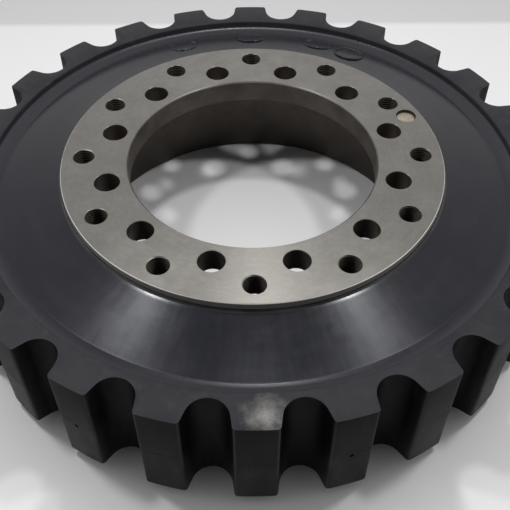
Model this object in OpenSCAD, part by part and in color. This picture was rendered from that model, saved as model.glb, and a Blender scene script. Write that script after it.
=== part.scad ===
/* [Steel hub] */
// Height of the hub, from the foot of its sleeve to its bolting face
hub_h = 92; // [84:1:110]
// Outer diameter of the flange and of the sleeve that the rubber is bonded to
hub_d = 257; // [256:0.5:262]
// Width of the flange's ring, from the bore to the outer edge
flange_w = 44.5; // [41:0.5:52]
// Thickness of the flange
flange_t = 17; // [15:0.5:24]
// Wall of the sleeve below the flange
sleeve_wall = 5.5; // [4:0.5:6]
// Chamfer round the outer edge of the bolting face
rim_chamfer = 0.6; // [0.3:0.1:1.5]
// Chamfer on both edges of the bore
bore_chamfer = 1; // [0.5:0.25:2]
// Chamfer on both edges of the sleeve's foot
foot_chamfer = 1; // [0.5:0.25:1.5]
// Fillet in the corner between flange and sleeve
inner_fillet = 1; // [0.5:0.25:1.5]

/* [Bolt holes] */
// Holes in each of the two circles
hole_count = 12; // [8:1:12]
// Distance of the outer, tapped holes' circle from the hub's outer edge
tapped_edge = 14.5; // [13.5:0.5:16]
// Tapping drill of the outer holes
tapped_d = 14; // [11:0.5:14.5]
// Distance of the inner, plain holes' circle from the bore
plain_edge = 14.75; // [12:0.25:16]
// Diameter of the inner, plain holes
plain_d = 17; // [13:0.5:18]
// Chamfer on both edges of every bolt hole
hole_chamfer = 0.3; // [0.1:0.1:0.6]

/* [Locating pin] */
// Diameter of the pin and of its blind hole
pin_d = 14; // [10:0.5:14.5]
// Length of the pin
pin_len = 10; // [6:0.5:11]
// Depth of the pin's top below the bolting face
pin_recess = 2; // [0.5:0.25:3]
// Distance of the pin's axis from the hub's outer edge
pin_edge = 11; // [10:0.5:12.5]
// Direction of the pin, anticlockwise from the X axis
pin_angle = 21; // [19.5:0.5:22]
// Chamfer round the pin's top
pin_chamfer = 0.8; // [0.3:0.1:1.5]

/* [Rubber web] */
// How far below each end of the hub the rubber starts
web_lip = 5.8; // [4.5:0.1:7.5]
// Fillet of the rubber where it meets the hub
web_fillet = 1; // [0.5:0.25:2]
// Depth of the valley before the rim, below the rim's face
valley_depth = 7.3; // [5.5:0.1:8]
// Fillet radius of the valley
valley_r = 8.9; // [8:0.1:11]

/* [Toothed rim] */
// Number of teeth
tooth_count = 24; // [20:1:24]
// Diameter over the tips of the teeth
tip_d = 408; // [402:0.5:420]
// Width of the rim along the axis
rim_w = 75.5; // [68:0.5:77]
// Width of the rim's flat face, from the web to the tips
rim_land = 23.25; // [21:0.25:28]
// Depth of each notch from the tips
notch_depth = 18; // [15:0.25:18.5]
// Radius of each notch's round end
notch_r = 12.4; // [10:0.2:13]
// Angle by which each side of a notch opens outwards
notch_flare = 15; // [5:1:18]
// Radius on the upright edges of the teeth
tooth_edge_r = 2; // [1:0.25:3]
// Gap at the shoulder, where the rim twists against the web
twist_gap = 0.3; // [0.2:0.05:0.5]

/* [Hidden] */
$fn = 144;
// Room that a cutter has past the face that it cuts
over = 1;
hub_r = hub_d / 2;
bore_r = hub_r - flange_w;
tapped_r = hub_r - tapped_edge;
plain_r = bore_r + plain_edge;
pin_r = hub_r - pin_edge;
sleeve_r = hub_r - sleeve_wall;
flange_z = hub_h - flange_t;
tip_r = tip_d / 2;
shoulder_r = tip_r - rim_land;
rim_low = (hub_h - rim_w) / 2;
rim_top = rim_low + rim_w;
mid_z = hub_h / 2;
hole_step = 360 / hole_count;
tooth_step = 360 / tooth_count;
// The first tapped hole and the first tooth point this way
front = -90;

// The valley is an arc that ends at the shoulder and is tangent to the cone
valley_end = acos(1 - valley_depth / valley_r);
valley_c = [shoulder_r - valley_r * sin(valley_end), rim_top - valley_depth + valley_r];
cone_start = [hub_r, hub_h - web_lip];
cone_run = valley_c - cone_start;
cone_fall = asin(valley_r / norm(cone_run)) - atan2(cone_run.y, cone_run.x);
cone_end = valley_c - valley_r * [sin(cone_fall), cos(cone_fall)];
// A fillet crosses the faces beside it at this small angle, which a touch would leave open
dip = 3;
// The fillet at the hub, between sleeve and cone
lip_in = web_fillet * cos(dip);
lip_c = cone_start + lip_in * [1, (1 - sin(cone_fall)) / cos(cone_fall)];
lip_foot = lip_c - 2 * web_fillet * [sin(cone_fall), cos(cone_fall)];

// A notch is a round end whose sides run straight out past the tips
notch_c = [tip_r - notch_depth + notch_r, 0];
side_dir = [cos(notch_flare), sin(notch_flare)];
side_out = [-sin(notch_flare), cos(notch_flare)];
side_start = notch_c + notch_r * side_out;
mouth_r = tip_r + 2 * tooth_edge_r;
// Centre of the rounding between a notch's side and the tips
edge_in = tooth_edge_r * cos(2 * dip);
edge_c = along(side_start + edge_in * side_out, side_dir, tip_r - edge_in);

// The point on the line from p along d that lies r from the origin
function along(p, d, r) =
    let (b = p * d, c = p * p - r * r)
    p + (sqrt(b * b - c) - b) * d;

// Copies the children at equal steps round the axis
module around(count, start) {
    for (i = [0 : count - 1]) rotate(start + i * 360 / count) children();
}

// A round hole from z = 0 up to t, with a chamfer on both edges
module chamfered_hole(d, t, c) {
    rotate_extrude()
        polygon([[0, -over], [d / 2 + c + over, -over], [d / 2, c],
                 [d / 2, t - c], [d / 2 + c + over, t + over], [0, t + over]]);
}

// Section of the flange and its sleeve
module hub_section() {
    polygon([[bore_r, flange_z + bore_chamfer],
             [bore_r + bore_chamfer, flange_z],
             [sleeve_r, flange_z],
             [sleeve_r, foot_chamfer],
             [sleeve_r + foot_chamfer, 0],
             [hub_r - foot_chamfer, 0],
             [hub_r, foot_chamfer],
             [hub_r, hub_h - rim_chamfer],
             [hub_r - rim_chamfer, hub_h],
             [bore_r + bore_chamfer, hub_h],
             [bore_r, hub_h - bore_chamfer]]);
    translate([sleeve_r, flange_z]) difference() {
        translate([-inner_fillet, -inner_fillet]) square(inner_fillet + sleeve_wall / 2);
        translate([-inner_fillet, -inner_fillet]) circle(r = inner_fillet);
    }
}

// Machined flange with two circles of holes, on the sleeve that carries the rubber
module steel_hub() {
    color([0.55, 0.54, 0.51])
    difference() {
        rotate_extrude() hub_section();
        around(hole_count, front)
            translate([tapped_r, 0, flange_z]) chamfered_hole(tapped_d, flange_t, hole_chamfer);
        around(hole_count, front + hole_step / 2)
            translate([plain_r, 0, flange_z]) chamfered_hole(plain_d, flange_t, hole_chamfer);
        rotate(pin_angle) translate([pin_r, 0, hub_h - pin_recess - pin_len])
            cylinder(d = pin_d, h = pin_recess + pin_len + over);
    }
}

// Pin pressed into the flange, with its top below the face
module locating_pin() {
    color([0.60, 0.52, 0.40])
    rotate(pin_angle) translate([pin_r, 0, hub_h - pin_recess - pin_len])
        rotate_extrude()
            polygon([[0, 0], [pin_d / 2, 0], [pin_d / 2, pin_len - pin_chamfer],
                     [pin_d / 2 - pin_chamfer, pin_len], [0, pin_len]]);
}

// Upper half of the web's section, from the middle plane up
module web_half() {
    difference() {
        polygon([[hub_r, mid_z], cone_start, cone_end, valley_c,
                 [shoulder_r, valley_c.y], [shoulder_r, mid_z]]);
        translate(valley_c) circle(r = valley_r);
    }
    difference() {
        polygon([[hub_r, mid_z], [hub_r, lip_c.y], lip_c, lip_foot, [lip_foot.x, mid_z]]);
        translate(lip_c) circle(r = web_fillet);
    }
}

// Elastic disc bonded to the sleeve, dished alike on both faces
module rubber_web() {
    color([0.20, 0.21, 0.23])
    rotate_extrude() {
        web_half();
        translate([0, hub_h]) mirror([0, 1]) web_half();
    }
}

// What is taken off one side of a notch to round the tooth's upright edge
module tooth_edge() {
    difference() {
        polygon([edge_c,
                 edge_c - 2 * tooth_edge_r * side_out,
                 [mouth_r, 0],
                 edge_c * mouth_r / norm(edge_c)]);
        translate(edge_c) circle(r = tooth_edge_r);
    }
}

// Outline of one notch on the X axis
module notch() {
    mouth = along(side_start, side_dir, mouth_r);
    translate(notch_c) circle(r = notch_r);
    polygon([side_start, mouth, [mouth.x, -mouth.y], [side_start.x, -side_start.y]]);
    tooth_edge();
    mirror([0, 1]) tooth_edge();
}

// Outer part of the rubber, with a notch for each tooth of the mating ring
module toothed_rim() {
    color([0.13, 0.13, 0.14])
    translate([0, 0, rim_low]) linear_extrude(rim_w) difference() {
        circle(r = tip_r);
        circle(r = shoulder_r + twist_gap);
        around(tooth_count, front + tooth_step / 2) notch();
    }
}

steel_hub();
locating_pin();
rubber_web();
toothed_rim();
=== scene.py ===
import math

import bpy
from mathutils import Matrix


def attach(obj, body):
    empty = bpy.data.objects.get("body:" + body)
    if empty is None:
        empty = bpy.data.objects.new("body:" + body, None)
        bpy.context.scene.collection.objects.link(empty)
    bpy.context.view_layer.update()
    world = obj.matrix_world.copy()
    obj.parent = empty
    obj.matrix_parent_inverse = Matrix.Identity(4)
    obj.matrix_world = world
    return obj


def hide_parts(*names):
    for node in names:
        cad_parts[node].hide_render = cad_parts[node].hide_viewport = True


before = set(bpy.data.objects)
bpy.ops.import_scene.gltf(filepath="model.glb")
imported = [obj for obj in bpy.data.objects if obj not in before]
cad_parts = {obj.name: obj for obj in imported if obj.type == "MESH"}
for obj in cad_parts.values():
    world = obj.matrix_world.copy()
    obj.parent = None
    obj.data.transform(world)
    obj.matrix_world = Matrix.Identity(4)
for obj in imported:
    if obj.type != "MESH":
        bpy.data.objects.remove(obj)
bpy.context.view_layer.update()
print("frame loaded with", len(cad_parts), "nodes")

turn = 2 * math.pi
front = -90  # the first hole and the first tooth point this way, in degrees from X
same = 1e-5  # points closer than this count as one place
weldAt = 2e-6  # doubles closer than this are merged
mostTries = 8  # how often one cut may be made
sizePlay = 0.001  # a good cut changes the size of a piece by less than this


# Small helpers for modelling

def workOn(piece):  # the next operator acts on this piece alone
    if bpy.context.mode != "OBJECT":
        bpy.ops.object.mode_set(mode="OBJECT")
    bpy.ops.object.select_all(action="DESELECT")
    piece.select_set(True)
    bpy.context.view_layer.objects.active = piece
    return piece


def settle(name):  # names the new primitive and puts its place into its mesh
    piece = workOn(bpy.context.object)
    bpy.ops.object.transform_apply(location=True, rotation=True, scale=True)
    piece.name = piece.data.name = name
    return piece


def choose(piece, kind, wanted, sharp=None):  # edit mode with only the wanted verts, edges or faces chosen
    workOn(piece)
    bpy.ops.object.mode_set(mode="EDIT")
    bpy.ops.mesh.select_mode(type=kind)
    bpy.ops.mesh.select_all(action="SELECT" if sharp is None else "DESELECT")
    if sharp is not None:
        bpy.ops.mesh.edges_select_sharp(sharpness=math.radians(sharp))
    bpy.ops.object.mode_set(mode="OBJECT")
    mesh = piece.data
    parts = {"VERT": mesh.vertices, "EDGE": mesh.edges, "FACE": mesh.polygons}[kind]
    keep = [part.select and wanted(mesh, part) for part in parts]
    for group in (mesh.vertices, mesh.edges, mesh.polygons):
        group.foreach_set("select", [False] * len(group))
    parts.foreach_set("select", keep)
    bpy.ops.object.mode_set(mode="EDIT")
    return sum(keep)


def edgeMiddle(mesh, edge):
    a, b = (mesh.vertices[i].co for i in edge.vertices)
    return (a + b) / 2


def isUpright(mesh, edge):  # nearly all of its length is height
    a, b = (mesh.vertices[i].co for i in edge.vertices)
    return abs(a.z - b.z) > 0.9 * (a - b).length


def fromAxis(point):
    return math.hypot(point.x, point.y)


def applied(piece, kind, **settings):  # a modifier with these settings, applied at once
    workOn(piece)
    modifier = piece.modifiers.new(kind.title(), kind)
    for key, value in settings.items():
        setattr(modifier, key, value)
    bpy.ops.object.modifier_apply(modifier=modifier.name)


def combine(piece, other, operation):  # cuts the other piece away or joins it on, and uses it up
    bpy.context.view_layer.update()
    whole, size = piece.data.copy(), piece.dimensions.copy()
    for attempt in range(mostTries):  # the solver loses the piece now and then, which its size shows
        applied(piece, "BOOLEAN", operation=operation, solver="EXACT", object=other)
        bpy.context.view_layer.update()
        if (piece.dimensions - size).length < sizePlay:
            break
        print("cut made again:", piece.name)
        lost = piece.data
        piece.data = whole.copy()
        bpy.data.meshes.remove(lost)
    else:
        raise RuntimeError("a cut failed on " + piece.name)
    bpy.data.meshes.remove(whole)
    bpy.data.objects.remove(other)


def smoothed(piece, degrees):
    workOn(piece)
    bpy.ops.object.shade_smooth_by_angle(angle=math.radians(degrees))


def startPoint(name, x, z):  # a single vertex in edit mode, from which an outline is drawn
    bpy.ops.object.select_all(action="DESELECT")
    bpy.ops.mesh.primitive_plane_add(size=0.001, location=(x, 0, z))
    piece = settle(name)
    bpy.ops.object.mode_set(mode="EDIT")
    bpy.ops.mesh.select_mode(type="VERT")
    bpy.ops.mesh.select_all(action="SELECT")
    bpy.ops.mesh.merge(type="CENTER")
    return piece


def drawBy(x, y, z):  # extrudes the chosen vertices
    bpy.ops.mesh.extrude_vertices_move(TRANSFORM_OT_translate={"value": (x, y, z)})


def extrudeBy(height):  # extrudes the chosen faces along Z
    bpy.ops.mesh.extrude_region_move(TRANSFORM_OT_translate={"value": (0, 0, height)})


def weld():
    bpy.ops.mesh.select_all(action="SELECT")
    bpy.ops.mesh.remove_doubles(threshold=weldAt)


def outwards():  # turns all faces outwards and leaves edit mode
    bpy.ops.mesh.select_all(action="SELECT")
    bpy.ops.mesh.normals_make_consistent(inside=False)
    bpy.ops.object.mode_set(mode="OBJECT")


def arc(centre, radius, first, last, steps):  # points on an arc, angles in degrees
    points = []
    for k in range(steps + 1):
        angle = math.radians(first + (last - first) * k / steps)
        points.append((centre[0] + radius * math.cos(angle), centre[1] + radius * math.sin(angle)))
    return points


def turned(name, outline, steps):  # a closed outline of (radius, height) points, drawn and spun round Z
    piece = startPoint(name, *outline[0])
    for here, there in zip(outline, outline[1:] + outline[:1]):
        drawBy(there[0] - here[0], 0, there[1] - here[1])
    weld()
    bpy.ops.mesh.spin(steps=steps, angle=turn, center=(0, 0, 0), axis=(0, 0, 1))
    weld()
    outwards()
    return piece


def allRound(piece, count, start):  # turns the piece to its start and joins its turned copies to it
    made = [piece]
    while len(made) < count:
        workOn(piece)
        bpy.ops.object.duplicate()
        made.append(bpy.context.object)
    for k, copy in enumerate(made):
        copy.rotation_euler.z = math.radians(start + 360 * k / count)
    workOn(piece)
    for copy in made:
        copy.select_set(True)
    bpy.ops.object.transform_apply(location=True, rotation=True, scale=True)
    if count > 1:
        bpy.ops.object.join()
    return piece


# Camera at the photograph's angle

cameraSetup = dict(place=(-0.0042, -0.40636, 0.43973), turned=(42.231, -0.113, -0.720), lens=55.47,
                   sensor=36, nearest=0.01)
bpy.ops.object.camera_add(location=cameraSetup["place"],
                          rotation=[math.radians(a) for a in cameraSetup["turned"]])
camera = bpy.context.object
camera.data.sensor_width = cameraSetup["sensor"]
camera.data.lens = cameraSetup["lens"]
camera.data.clip_start = cameraSetup["nearest"]
bpy.context.scene.camera = camera
print("camera set")


# Steel hub: flange and sleeve turned in one, then drilled and tapped

hub = dict(height=0.092, outer=0.1285, bore=0.084, flange=0.017, wall=0.0055,
           rimChamfer=0.0006, boreChamfer=0.001, footChamfer=0.001,
           fillet=0.001, filletSteps=6, steps=240, smooth=30)
holes = dict(count=12, tappedAt=0.114, tapped=0.007, plainAt=0.09875, plain=0.0085, chamfer=0.0003,
             pinAt=0.1175, pin=0.007, pinDepth=0.012, pinAngle=21, sides=64, past=0.001)
thread = dict(pitch=0.002, depth=0.0009, width=0.0016, crest=0.0002, foot=0.0068, below=1.5, steps=24)

under = hub["height"] - hub["flange"]
inside = hub["outer"] - hub["wall"]
corner = (inside - hub["fillet"], under - hub["fillet"])
hubOutline = [(hub["bore"], under + hub["boreChamfer"]), (hub["bore"] + hub["boreChamfer"], under)]
hubOutline += arc(corner, hub["fillet"], 90, 0, hub["filletSteps"])
hubOutline += [(inside, hub["footChamfer"]), (inside + hub["footChamfer"], 0),
               (hub["outer"] - hub["footChamfer"], 0), (hub["outer"], hub["footChamfer"]),
               (hub["outer"], hub["height"] - hub["rimChamfer"]),
               (hub["outer"] - hub["rimChamfer"], hub["height"]),
               (hub["bore"] + hub["boreChamfer"], hub["height"]),
               (hub["bore"], hub["height"] - hub["boreChamfer"])]
steelHub = turned("steelHub", hubOutline, hub["steps"])


def drill(name, at, radius, low, high, chamfer):  # a drill with flared ends, which chamfer both edges
    past = holes["past"]
    bpy.ops.object.select_all(action="DESELECT")
    bpy.ops.mesh.primitive_cylinder_add(vertices=holes["sides"], radius=radius, depth=high - low,
                                        location=(at, 0, (low + high) / 2))
    tool = settle(name)
    for side, end in ((-1, low), (1, high)):
        choose(tool, "FACE", lambda mesh, face: abs(face.center.z - end) < same)
        if chamfer:
            bpy.ops.transform.translate(value=(0, 0, -side * chamfer))
            extrudeBy(side * (chamfer + past))
            grow = (radius + chamfer + past) / radius
            bpy.ops.transform.resize(value=(grow, grow, 1), center_override=(at, 0, end))
        else:
            bpy.ops.transform.translate(value=(0, 0, side * past))
        bpy.ops.object.mode_set(mode="OBJECT")
    return tool


def tapRidge():  # the helical ridge of a tap, which cuts one thread right through the flange
    crestOut = holes["tapped"] + thread["depth"] - thread["foot"]
    slopeUp = thread["width"] / 2 - thread["crest"] / 2
    ridge = startPoint("tapRidge", thread["foot"], under - thread["pitch"] * thread["below"])
    drawBy(crestOut, 0, slopeUp)
    drawBy(0, 0, thread["crest"])
    drawBy(-crestOut, 0, slopeUp)
    bpy.ops.mesh.select_all(action="SELECT")
    bpy.ops.mesh.edge_face_add()
    bpy.ops.object.mode_set(mode="OBJECT")
    applied(ridge, "SCREW", angle=turn, screw_offset=thread["pitch"],
            iterations=math.ceil(hub["flange"] / thread["pitch"]) + 2,
            steps=thread["steps"], render_steps=thread["steps"], use_merge_vertices=False)
    choose(ridge, "FACE", lambda mesh, face: True)
    weld()
    outwards()
    ridge.location.x = holes["tappedAt"]
    workOn(ridge)
    bpy.ops.object.transform_apply(location=True, rotation=True, scale=True)
    return ridge


for name, at, radius, start in (
        ("tappedDrill", holes["tappedAt"], holes["tapped"], front),
        ("plainDrill", holes["plainAt"], holes["plain"], front + 180 / holes["count"])):
    tool = drill(name, at, radius, under, hub["height"], holes["chamfer"])
    combine(steelHub, allRound(tool, holes["count"], start), "DIFFERENCE")
pinFloor = hub["height"] - holes["pinDepth"] + holes["past"]  # a plain drill goes past both its ends
pinDrill = drill("pinDrill", holes["pinAt"], holes["pin"], pinFloor, hub["height"], 0)
combine(steelHub, allRound(pinDrill, 1, holes["pinAngle"]), "DIFFERENCE")
combine(steelHub, allRound(tapRidge(), holes["count"], front), "DIFFERENCE")
smoothed(steelHub, hub["smooth"])
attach(steelHub, "hub")
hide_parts("steel_hub")
print("steel hub turned, drilled and tapped:", len(steelHub.data.polygons), "faces")


# Rubber web: a dished disc with a soft valley before the rim, the same on both faces

web = dict(lip=0.0058, filletRadius=0.002, filletSteps=6, steps=288, smooth=40,
           lipSlope=15.5, endSlope=9.2, dishSteps=12, lastStep=0.993, valleyAt=0.1716,
           bottomSlope=1, bottomRadius=0.100, bottomRun=0.0016, bottomSteps=5,
           valleyRadius=0.013, valleySteps=10, footRadius=0.0018, footSteps=5)
rim = dict(tip=0.204, shoulder=0.18075, gap=0.0001, width=0.0755, teeth=24, seam=0.00015,
           steps=288, smooth=40,
           notchDepth=0.018, notchRadius=0.0124, notchSides=96, flare=15, sideReach=0.012, past=0.002,
           sharp=40, near=0.001, edgeBevel=0.0017, edgeSegments=4, innerEdge=0.0012, innerSegments=3,
           softEdge=0.0005, softSegments=2, softAngle=50, lineHeight=0.0001, lineHalf=0.00025)
rimLow = (hub["height"] - rim["width"]) / 2
rimTop = rimLow + rim["width"]
middle = hub["height"] / 2

coneRun = web["valleyAt"] - hub["outer"]
lipTan, endTan = (math.tan(math.radians(a)) for a in (web["lipSlope"], web["endSlope"]))
lipAngle = math.radians(web["lipSlope"])
lipZ = hub["height"] - web["lip"]
lipAt = (hub["outer"] + web["filletRadius"],
         lipZ + web["filletRadius"] * (1 - math.sin(lipAngle)) / math.cos(lipAngle))
upper = arc(lipAt, web["filletRadius"], 180, 270 - web["lipSlope"], web["filletSteps"])
ways = [k / web["dishSteps"] for k in range(1, web["dishSteps"])] + [web["lastStep"], 1]
for way in ways:  # the dished face, steeper at the hub than at the valley
    drop = coneRun * (lipTan * way + (endTan - lipTan) * way * way / 2)
    upper.append((hub["outer"] + coneRun * way, lipZ - drop))
kink = upper[-1]
level = math.radians(web["bottomSlope"])  # the valley's bottom is nearly flat at first and then curves up
bottom = (kink[0] + web["bottomRadius"] * math.sin(level), kink[1] + web["bottomRadius"] * math.cos(level))
rise = math.asin((web["bottomRun"] - web["bottomRadius"] * math.sin(level)) / web["bottomRadius"])
riseEnd = 270 + math.degrees(rise)
upper += arc(bottom, web["bottomRadius"], 270 - web["bottomSlope"], riseEnd, web["bottomSteps"])[1:]
tighter = web["bottomRadius"] - web["valleyRadius"]
valley = (bottom[0] + tighter * math.sin(rise), bottom[1] - tighter * math.cos(rise))
foot = rim["shoulder"] - web["footRadius"] - valley[0]
tighter = web["valleyRadius"] - web["footRadius"]
leave = math.asin(foot / tighter)
leaveEnd = 270 + math.degrees(leave)
footAt = (valley[0] + foot, valley[1] - tighter * math.cos(leave))
upper += arc(valley, web["valleyRadius"], riseEnd, leaveEnd, web["valleySteps"])[1:]
upper += arc(footAt, web["footRadius"], leaveEnd, 360, web["footSteps"])[1:]
lower = [(r, hub["height"] - z) for r, z in reversed(upper)]
rubberWeb = turned("rubberWeb", upper + lower, web["steps"])

# Raised rings that the mould left at the back: direction, distance, half sizes out and across, height, tilt
mouldRings = dict(tube=0.0008, tubeSides=10, sides=72, places=(
    (180, 0.165, 0.0082, 0.0112, 0.0780, 12.3),
    (150.5, 0.1607, 0.0105, 0.0113, 0.0789, 12.3),
    (160.5, 0.165, 0.0088, 0.0113, 0.0776, 14.0),
    (-160.5, 0.163, 0.0092, 0.0113, 0.0778, 13.5)))
for direction, at, along, across, height, tilt in mouldRings["places"]:
    bpy.ops.object.select_all(action="DESELECT")
    bpy.ops.mesh.primitive_torus_add(major_radius=across, major_segments=mouldRings["sides"],
                                     minor_radius=mouldRings["tube"], minor_segments=mouldRings["tubeSides"],
                                     location=(at, 0, height), rotation=(0, math.radians(tilt), 0))
    bpy.context.object.scale.x = along / across
    combine(rubberWeb, allRound(settle("mouldRing"), 1, front + direction), "UNION")
smoothed(rubberWeb, web["smooth"])
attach(rubberWeb, "hub")
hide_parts("rubber_web")
print("rubber web turned:", len(rubberWeb.data.polygons), "faces")


# Toothed rim: a rubber ring cut by the same notch all round

rimInner = rim["shoulder"] + rim["gap"]
tipRing = rim["tip"] - rim["seam"]
rimOutline = [(rimInner, rimLow), (tipRing, rimLow), (tipRing, rimTop), (rimInner, rimTop)]
toothedRim = turned("toothedRim", rimOutline, rim["steps"])


def notchCutter():  # a round end whose sides run straight on, flared, past the tips
    at = rim["tip"] - rim["notchDepth"] + rim["notchRadius"]
    flare = math.radians(rim["flare"])
    sideAt = at - rim["notchRadius"] * math.sin(flare)  # the circle has a corner here, where each side starts
    bpy.ops.object.select_all(action="DESELECT")
    bpy.ops.mesh.primitive_circle_add(vertices=rim["notchSides"], radius=rim["notchRadius"],
                                      location=(at, 0, rimLow - rim["past"]))
    tool = settle("notchCutter")
    choose(tool, "VERT", lambda mesh, vert: vert.co.x > sideAt + same)
    bpy.ops.mesh.delete(type="VERT")
    for side in (1, -1):
        choose(tool, "VERT", lambda mesh, vert: abs(vert.co.x - sideAt) < same and vert.co.y * side > 0)
        drawBy(rim["sideReach"] * math.cos(flare), side * rim["sideReach"] * math.sin(flare), 0)
        bpy.ops.object.mode_set(mode="OBJECT")
    choose(tool, "VERT", lambda mesh, vert: True)
    bpy.ops.mesh.edge_face_add()
    extrudeBy(rim["width"] + 2 * rim["past"])
    outwards()
    return tool


combine(toothedRim, allRound(notchCutter(), rim["teeth"], front + 180 / rim["teeth"]), "DIFFERENCE")
found = choose(toothedRim, "EDGE", lambda mesh, edge: isUpright(mesh, edge)
               and fromAxis(edgeMiddle(mesh, edge)) > rim["tip"] - rim["near"], sharp=rim["sharp"])
bpy.ops.mesh.bevel(offset=rim["edgeBevel"], segments=rim["edgeSegments"], affect="EDGES")
bpy.ops.object.mode_set(mode="OBJECT")
print("tooth edges rounded:", found)
choose(toothedRim, "EDGE", lambda mesh, edge: not isUpright(mesh, edge)
       and fromAxis(edgeMiddle(mesh, edge)) < rim["shoulder"] + rim["near"], sharp=rim["sharp"])
bpy.ops.mesh.bevel(offset=rim["innerEdge"], segments=rim["innerSegments"], affect="EDGES")
bpy.ops.object.mode_set(mode="OBJECT")
applied(toothedRim, "BEVEL", width=rim["softEdge"], segments=rim["softSegments"], limit_method="ANGLE",
        angle_limit=math.radians(rim["softAngle"]))
choose(toothedRim, "FACE", lambda mesh, face: True)
for away in (-2, -1, 0, 1, 2):  # a fine raised line at half height, where the halves of the mould met
    bpy.ops.mesh.select_all(action="SELECT")
    bpy.ops.mesh.bisect(plane_co=(0, 0, middle + away * rim["lineHalf"]), plane_no=(0, 0, 1))
choose(toothedRim, "VERT", lambda mesh, vert: abs(vert.co.z - middle) < same
       and fromAxis(vert.co) > rim["shoulder"] + 2 * rim["near"])
bpy.ops.transform.shrink_fatten(value=rim["lineHeight"])
bpy.ops.object.mode_set(mode="OBJECT")

vents = dict(count=8, radius=0.0014, depth=0.0015, height=0.0430, start=front + 15, sides=24)
bpy.ops.object.select_all(action="DESELECT")
bpy.ops.mesh.primitive_cylinder_add(vertices=vents["sides"], radius=vents["radius"], depth=2 * vents["depth"],
                                    location=(tipRing, 0, vents["height"]), rotation=(0, math.pi / 2, 0))
combine(toothedRim, allRound(settle("ventCutter"), vents["count"], vents["start"]), "DIFFERENCE")
smoothed(toothedRim, rim["smooth"])
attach(toothedRim, "rim")
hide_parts("toothed_rim")
print("toothed rim cut:", len(toothedRim.data.polygons), "faces")


# Small helpers for materials: all patterns are in metres on Object coordinates

def newMaterial(name, **plain):
    material = bpy.data.materials.new(name)
    material.use_nodes = True
    shader = material.node_tree.nodes["Principled BSDF"]
    for socket, value in plain.items():
        shader.inputs[socket].default_value = value
    return material, material.node_tree, shader


def add(tree, kind, links=None, **settings):
    made = tree.nodes.new("ShaderNode" + kind)
    for key, value in settings.items():
        setattr(made, key, value)
    for key, value in (links or {}).items():
        if isinstance(value, bpy.types.NodeSocket):
            tree.links.new(value, made.inputs[key])
        else:
            made.inputs[key].default_value = value
    return made


def math2(tree, operation, a, b=0.0):
    return add(tree, "Math", {0: a, 1: b}, operation=operation).outputs[0]


def times(tree, first, *others):
    for other in others:
        first = math2(tree, "MULTIPLY", first, other)
    return first


def larger(tree, a, b):
    return math2(tree, "MAXIMUM", a, b)


def between(tree, value, low, high, start=0.0, end=1.0):  # a clamped ramp from start to end
    return add(tree, "MapRange", {"Value": value, "From Min": low, "From Max": high,
                                  "To Min": start, "To Max": end}).outputs["Result"]


def beside(tree, value, edge, low, high, start=0.0, end=1.0):  # the same, its limits measured from an edge
    return between(tree, value, edge + low, edge + high, start, end)


def noise(tree, vector, scale, detail, roughness):
    return add(tree, "TexNoise", {"Vector": vector, "Scale": scale, "Detail": detail,
                                  "Roughness": roughness}).outputs["Fac"]


def tint(tree, amount, first, second):
    made = add(tree, "Mix", {0: amount}, data_type="RGBA")
    for socket, value in ((6, first), (7, second)):
        if isinstance(value, bpy.types.NodeSocket):
            tree.links.new(value, made.inputs[socket])
        else:
            made.inputs[socket].default_value = (*value, 1)
    return made.outputs[2]


def coat(tree, color, pattern, layer):  # a layer is the ramp of its pattern and its colour
    ramp, paint = layer
    return tint(tree, between(tree, pattern, *ramp), color, paint)


def bumpFrom(tree, shader, strength, distance, height):
    bump = add(tree, "Bump", {"Strength": strength, "Distance": distance, "Height": height})
    tree.links.new(bump.outputs[0], shader.inputs["Normal"])


def objectPlace(tree):
    return add(tree, "TexCoord").outputs["Object"]


def partsOf(tree, vector):
    return add(tree, "SeparateXYZ", {0: vector}).outputs


def placeOn(tree):  # position on the object, its height, distance from the axis and angle round it
    position = objectPlace(tree)
    x, y, z = partsOf(tree, position)
    flat = add(tree, "VectorMath", {0: position, 1: (1, 1, 0)}, operation="MULTIPLY").outputs[0]
    radius = add(tree, "VectorMath", {0: flat}, operation="LENGTH").outputs["Value"]
    return position, z, radius, math2(tree, "ARCTAN2", y, x)


def polar(tree, radius, angle, scales, z=0.0):  # a vector for patterns that run round the axis
    return add(tree, "CombineXYZ", {0: times(tree, radius, scales[0]), 1: times(tree, angle, scales[1]),
                                    2: z}).outputs[0]


def levelness(tree):  # 1 on a level face, 0 on an upright one
    return math2(tree, "ABSOLUTE", partsOf(tree, add(tree, "NewGeometry").outputs["Normal"])[2])


# A noise is its scale, detail and roughness. A ramp is its limits and, where not 0 to 1, its start and end.

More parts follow.
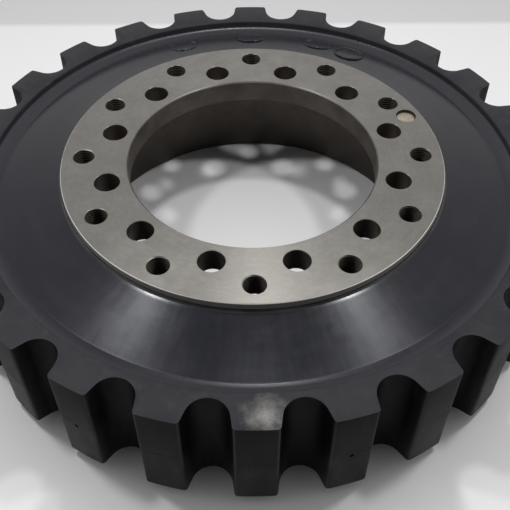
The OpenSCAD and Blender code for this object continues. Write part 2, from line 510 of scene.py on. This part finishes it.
steelLook = dict(
    anisotropy=0.6, grainTurn=0.25,
    face=(0.212, 0.204, 0.189), palePatch=((0.35, 0.68), (0.252, 0.243, 0.227)),
    darkSpeck=((0.42, 0.72, 0, 0.55), (0.190, 0.180, 0.162)),
    paleSpeck=((0.45, 0.25, 0, 0.5), (0.285, 0.276, 0.258)),
    stain=((0.62, 0.8, 0, 0.35), (0.24, 0.215, 0.18)), groove=((0.3, 0.7, 0.35, 0), (0.17, 0.162, 0.148)),
    wall=(0.085, 0.075, 0.066), paleWall=((0.3, 0.7), (0.15, 0.133, 0.117)),
    # painted light and shade: a set tone that the sleeve's inner wall takes towards its foot
    foot=((0.045, 0.005, 0, 0.9), (0.080, 0.070, 0.065)),
    # the outer chamfer's near-white colour is a painted highlight
    outerWall=(0.27, 0.266, 0.243), hole=(0.045, 0.034, 0.028), edge=(0.85, 0.83, 0.78),
    grindScales=(2200.0, 5.0), grindHeight=1200.0, grind=(1.0, 3.0, 0.6), cloud=(55.0, 6.0, 0.6),
    fine=(420.0, 3.0, 0.6), speckScales=(420.0, 22.0), speck=(1.0, 4.0, 0.65),
    upright=(0.35, 0.6, 1, 0), belowFace=(-0.0006, -0.0004, 1, 0), insideWall=(-0.003, -0.0028, 1, 0),
    outsideBore=(0.0004, 0.0008), aboveSleeve=(-0.0004, -0.0002), edgeHighlightRing=(0, 0.0001),
    edgeHighlightTop=(-0.0005, -0.0002), cloudRough=(0.3, 0.7, 0.36, 0.44), grindRough=(0.3, 0.7, -0.04, 0.05),
    wallRough=0.12, outerGloss=0.22, holeDull=0.5, edgeHighlightDull=0.7, outerDull=0.7,
    grindBump=0.6, fineBump=0.4, bump=(0.25, 0.00005))


def steelMaterial():
    look = steelLook
    material, tree, shader = newMaterial("groundSteel", **{"Anisotropic": look["anisotropy"],
                                                           "Anisotropic Rotation": look["grainTurn"]})
    position, z, radius, angle = placeOn(tree)
    upright = between(tree, levelness(tree), *look["upright"])
    sunk = beside(tree, z, hub["height"], *look["belowFace"])
    within = beside(tree, radius, hub["outer"], *look["insideWall"])
    wallMask = larger(tree, upright, times(tree, sunk, within))
    inHole = times(tree, beside(tree, radius, hub["bore"], *look["outsideBore"]), within, wallMask,
                   beside(tree, z, under, *look["aboveSleeve"]))
    outside = math2(tree, "SUBTRACT", 1.0, within)
    outerFace = times(tree, outside, wallMask)
    # painted highlight: the outer chamfer is coloured near white and made less metallic, so it shows as a
    # bright line from every side
    edge = times(tree, beside(tree, radius, hub["outer"] - hub["rimChamfer"], *look["edgeHighlightRing"]),
                 beside(tree, z, hub["height"], *look["edgeHighlightTop"]))

    rings = polar(tree, radius, angle, look["grindScales"], times(tree, z, look["grindHeight"]))
    grind = noise(tree, rings, *look["grind"])
    cloud = noise(tree, position, *look["cloud"])
    fine = noise(tree, position, *look["fine"])
    speck = noise(tree, polar(tree, radius, angle, look["speckScales"]), *look["speck"])
    color = look["face"]
    for pattern, layer in ((cloud, "palePatch"), (speck, "darkSpeck"), (speck, "paleSpeck"),
                           (fine, "stain"), (grind, "groove")):
        color = coat(tree, color, pattern, look[layer])
    color = tint(tree, edge, color, look["edge"])
    wall = coat(tree, look["wall"], cloud, look["paleWall"])
    # painted light and shade: towards its foot the sleeve's inner wall takes one set tone, tuned to the light
    # at the bottom of the bore
    wall = coat(tree, wall, z, look["foot"])
    wall = tint(tree, outside, wall, look["outerWall"])
    wall = tint(tree, inHole, wall, look["hole"])
    tree.links.new(tint(tree, wallMask, color, wall), shader.inputs["Base Color"])

    rough = math2(tree, "ADD", between(tree, cloud, *look["cloudRough"]),
                  between(tree, grind, *look["grindRough"]))
    rough = math2(tree, "ADD", rough, times(tree, wallMask, look["wallRough"]))
    rough = math2(tree, "SUBTRACT", rough, times(tree, outerFace, look["outerGloss"]))
    tree.links.new(rough, shader.inputs["Roughness"])
    dull = larger(tree, times(tree, inHole, look["holeDull"]), times(tree, edge, look["edgeHighlightDull"]))
    dull = larger(tree, dull, times(tree, outerFace, look["outerDull"]))
    tree.links.new(math2(tree, "SUBTRACT", 1.0, dull), shader.inputs["Metallic"])
    bumpFrom(tree, shader, *look["bump"], math2(tree, "ADD", times(tree, grind, look["grindBump"]),
                                                times(tree, fine, look["fineBump"])))
    tangent = add(tree, "Tangent", direction_type="RADIAL", axis="Z")
    tree.links.new(tangent.outputs[0], shader.inputs["Tangent"])
    return material


pinLook = dict(metal=0.85, top=(0.30, 0.26, 0.20), paleTop=((0.35, 0.65), (0.44, 0.39, 0.31)),
               rust=((0.52, 0.7, 0, 0.8), (0.16, 0.095, 0.05)),
               broad=(160.0, 4.0, 0.6), spots=(700.0, 5.0, 0.65),
               rough=(0.3, 0.7, 0.4, 0.62), bump=(0.5, 0.0001))


def pinMaterial():
    look = pinLook
    material, tree, shader = newMaterial("stainedPin", Metallic=look["metal"])
    position = objectPlace(tree)
    spots = noise(tree, position, *look["spots"])
    color = coat(tree, look["top"], noise(tree, position, *look["broad"]), look["paleTop"])
    tree.links.new(coat(tree, color, spots, look["rust"]), shader.inputs["Base Color"])
    tree.links.new(between(tree, spots, *look["rough"]), shader.inputs["Roughness"])
    bumpFrom(tree, shader, *look["bump"], spots)
    return material


webLook = dict(
    specular=0.33, specularTint=(0.95, 0.962, 1, 1), face=(0.0030, 0.0033, 0.0075),
    paleCloud=((0.3, 0.7), (0.0065, 0.0064, 0.0105)), paleStreak=((0.5, 0.75, 0, 0.4), (0.014, 0.013, 0.018)),
    # painted light: the valley's outer wall is lighter all round, from 172.5 mm out to the shoulder
    paintedValleyLight=((0.1725, 0.1795), (0.022, 0.022, 0.027)),
    # painted light: the outer part of the web's back half is lighter
    behind=(0.024, 0.024, 0.029), backLightFrom=(-0.02, 0.12), backLightRadius=(0.150, 0.168),
    # painted light: a pale, ragged band on the web's fillet at the hub, lifting the shade in that corner
    filletLight=(0.052, 0.052, 0.055), filletLightRun=(0.0009, 0.0022, 1, 0), filletLightStreak=(0.35, 0.62, 0.35, 1),
    streakScales=(110.0, 6.0), streakHeight=60.0, streak=(1.0, 5.0, 0.6), cloud=(26.0, 6.0, 0.62),
    grain=(900.0, 2.0, 0.5), wipeScales=(30.0, 26.0), wipe=(1.0, 5.0, 0.7),
    cloudRough=(0.3, 0.7, 0.18, 0.215), streakRough=(0.3, 0.7, -0.012, 0.02),
    wipeRough=(0.35, 0.65, -0.018, 0.022), gutterRough=(-0.0012, -0.0004, 0, 0.075),
    streakBump=0.5, grainBump=0.08, bump=(0.15, 0.0002))


def webMaterial():
    look = webLook
    material, tree, shader = newMaterial("smoothRubber", **{"Specular IOR Level": look["specular"],
                                                            "Specular Tint": look["specularTint"]})
    position, z, radius, angle = placeOn(tree)
    flow = polar(tree, radius, angle, look["streakScales"], times(tree, z, look["streakHeight"]))
    streak = noise(tree, flow, *look["streak"])
    cloud = noise(tree, position, *look["cloud"])
    grain = noise(tree, position, *look["grain"])
    wipe = noise(tree, polar(tree, radius, angle, look["wipeScales"]), *look["wipe"])
    color = look["face"]
    # the last layer is painted light: the valley's outer wall turns lighter all round
    for pattern, layer in ((cloud, "paleCloud"), (streak, "paleStreak"), (radius, "paintedValleyLight")):
        color = coat(tree, color, pattern, look[layer])
    # painted light: the web is lighter on its back half, from 150 mm out
    behind = times(tree, between(tree, partsOf(tree, position)[1], *look["backLightFrom"]),
                   between(tree, radius, *look["backLightRadius"]))
    color = tint(tree, behind, color, look["behind"])
    # painted light: a pale, ragged band on the fillet beside the hub, lifting the shade in that corner
    filletLight = times(tree, beside(tree, radius, hub["outer"], *look["filletLightRun"]),
                 between(tree, streak, *look["filletLightStreak"]))
    tree.links.new(tint(tree, filletLight, color, look["filletLight"]), shader.inputs["Base Color"])
    rough = between(tree, cloud, *look["cloudRough"])
    for more in (between(tree, streak, *look["streakRough"]), between(tree, wipe, *look["wipeRough"]),
                 beside(tree, radius, web["valleyAt"], *look["gutterRough"])):
        rough = math2(tree, "ADD", rough, more)
    tree.links.new(rough, shader.inputs["Roughness"])
    bumpFrom(tree, shader, *look["bump"], math2(tree, "ADD", times(tree, streak, look["streakBump"]),
                                                times(tree, grain, look["grainBump"])))
    return material


rimLook = dict(
    # the upright faces are painted in shade: far darker than the level faces of the same rubber
    specular=0.1, side=(0.0008, 0.0006, 0.0006), paleSide=((0.48, 0.68), (0.0075, 0.0066, 0.0062)),
    top=(0.0215, 0.0212, 0.0255), paleTop=((0.3, 0.7), (0.0335, 0.0325, 0.0375)),
    scuffTop=((0.52, 0.72, 0, 0.5), (0.046, 0.044, 0.046)),
    levelFrom=(0.4, 0.9), innerRun=(0.0014, 0.0022, 1, 0),
    dust=(0.032, 0.030, 0.027), lowFrom=(-0.004, 0.030), lowRun=(-0.004, -0.001),
    lowScuff=(0.42, 0.72, 0.25, 1),
    cornerAt=0.222, cornerWide=(0.002, 0.016, 1, 0), cornerRun=(-0.0025, -0.001),
    cornerScuff=(0.3, 0.6, 0.35, 1),
    # painted highlight: a pale patch on the front tooth's top where a lamp is reflected
    toothHighlight=(0.31, 0.30, 0.285), toothHighlightAt=(0.0055, -0.1957), toothHighlightRagged=(0.3, 0.7, 0.004, -0.004),
    toothHighlightRun=(-0.002, 0.0155, 1, 0), toothHighlightFall=1.4, toothHighlightGrain=(0.35, 0.65, 0.7, 1),
    cloud=(32.0, 6.0, 0.62), grain=(1100.0, 3.0, 0.6), scuff=(140.0, 5.0, 0.65), scuffStretch=(1, 1, 0.25),
    rough=(0.3, 0.7, 0.40, 0.52), scuffBump=0.6, bump=(0.2, 0.00015))


def rimMaterial():
    look = rimLook
    material, tree, shader = newMaterial("mattRubber", **{"Specular IOR Level": look["specular"]})
    position, z, radius, angle = placeOn(tree)
    # painted shade: upright faces take the far darker side colour and level faces the top colour, though both
    # are the same rubber; the inner wall beside the shoulder keeps the top colour
    level = larger(tree, between(tree, levelness(tree), *look["levelFrom"]),
                   beside(tree, radius, rim["shoulder"], *look["innerRun"]))
    cloud = noise(tree, position, *look["cloud"])
    grain = noise(tree, position, *look["grain"])
    stretched = add(tree, "VectorMath", {0: position, 1: look["scuffStretch"]}, operation="MULTIPLY")
    scuff = noise(tree, stretched.outputs[0], *look["scuff"])

    tooth = times(tree, angle, rim["teeth"] / turn)  # whole at the middle of each tooth
    fromMiddle = math2(tree, "ABSOLUTE", math2(tree, "SUBTRACT", tooth, math2(tree, "ROUND", tooth)))
    fromCorner = math2(tree, "ABSOLUTE", math2(tree, "SUBTRACT", fromMiddle, look["cornerAt"]))
    corner = times(tree, between(tree, fromCorner, *look["cornerWide"]),
                   beside(tree, radius, rim["tip"], *look["cornerRun"]),
                   between(tree, scuff, *look["cornerScuff"]))
    low = times(tree, between(tree, math2(tree, "SUBTRACT", middle, z), *look["lowFrom"]),
                between(tree, scuff, *look["lowScuff"]), beside(tree, radius, rim["tip"], *look["lowRun"]))
    side = coat(tree, look["side"], scuff, look["paleSide"])
    side = tint(tree, larger(tree, low, corner), side, look["dust"])

    top = coat(tree, look["top"], cloud, look["paleTop"])
    top = coat(tree, top, scuff, look["scuffTop"])
    # painted highlight: a pale, ragged patch on the front tooth's top where a lamp is reflected
    spot = add(tree, "VectorMath", {0: position, 1: (*look["toothHighlightAt"], rimTop)}, operation="DISTANCE")
    ragged = math2(tree, "ADD", spot.outputs["Value"], between(tree, scuff, *look["toothHighlightRagged"]))
    toothHighlight = times(tree, math2(tree, "POWER", between(tree, ragged, *look["toothHighlightRun"]), look["toothHighlightFall"]),
                  between(tree, grain, *look["toothHighlightGrain"]))
    top = tint(tree, toothHighlight, top, look["toothHighlight"])
    tree.links.new(tint(tree, level, side, top), shader.inputs["Base Color"])
    tree.links.new(between(tree, cloud, *look["rough"]), shader.inputs["Roughness"])
    bumpFrom(tree, shader, *look["bump"], math2(tree, "ADD", grain, times(tree, scuff, look["scuffBump"])))
    return material


def finish(piece, material):
    piece.data.materials.clear()
    piece.data.materials.append(material)


finish(steelHub, steelMaterial())
finish(rubberWeb, webMaterial())
finish(toothedRim, rimMaterial())
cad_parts["locating_pin"].material_slots[0].material = pinMaterial()
print("materials made")


# Floor and light

floorLook = dict(size=8.0, below=0.0001, rough=0.35, color=(0.84, 0.835, 0.84),
                 wallColor=(0.64, 0.635, 0.645), wallAt=0.3145, fade=0.004)  # grey from here to the back
bpy.ops.object.select_all(action="DESELECT")
bpy.ops.mesh.primitive_plane_add(size=floorLook["size"], location=(0, 0, -floorLook["below"]))
floor = settle("floor")
floorMaterial, tree, shader = newMaterial("paleFloor", Roughness=floorLook["rough"])
wallRun = beside(tree, partsOf(tree, objectPlace(tree))[1], floorLook["wallAt"], -floorLook["fade"],
                 floorLook["fade"])
tree.links.new(tint(tree, wallRun, floorLook["color"], floorLook["wallColor"]), shader.inputs["Base Color"])
finish(floor, floorMaterial)

lampSetup = dict(size=0.065, lamps=((0.021, 0.123, 0.697, 1.13), (-0.276, -0.040, 0.600, 0.96),
                                    (0.268, -0.047, 0.617, 0.90)))  # each lamp's place and power
for k, (x, y, z, power) in enumerate(lampSetup["lamps"]):
    bpy.ops.object.light_add(type="AREA", location=(x, y, z))
    lamp = bpy.context.object
    lamp.name = "lamp" + str(k + 1)
    lamp.data.shape = "DISK"
    lamp.data.size = lampSetup["size"]
    lamp.data.energy = power

# The room's light: a colour, or the ramp of its direction and its colour
roomLook = dict(front=(0.022, 0.022, 0.024), above=((0.4, 0.8), (0.10, 0.10, 0.10)),
                frontSides=((0.42, 0.9), (0.85, 0.85, 0.85)), middle=(0.54, 0.545, 0.56),
                sides=((0.08, 0.5), (0.98, 0.98, 0.99)), pastFront=(-0.35, 0.3),
                behind=((0.15, 0.6), (0.85, 0.85, 0.85)), horizon=((0.9, 1.0), (0.55, 0.55, 0.545)))
world = bpy.data.worlds.new("softRoom")
bpy.context.scene.world = world
world.use_nodes = True
tree = world.node_tree
right, back, up = partsOf(tree, add(tree, "TexCoord").outputs["Generated"])
aside = math2(tree, "ABSOLUTE", right)
frontSky = coat(tree, roomLook["front"], up, roomLook["above"])
frontSky = coat(tree, frontSky, aside, roomLook["frontSides"])
sky = coat(tree, roomLook["middle"], aside, roomLook["sides"])
sky = tint(tree, between(tree, back, *roomLook["pastFront"]), frontSky, sky)
sky = coat(tree, sky, back, roomLook["behind"])
sky = coat(tree, sky, back, roomLook["horizon"])
tree.links.new(sky, tree.nodes["Background"].inputs["Color"])
bpy.context.scene.view_settings.view_transform = "Standard"
print("floor and lamps set")
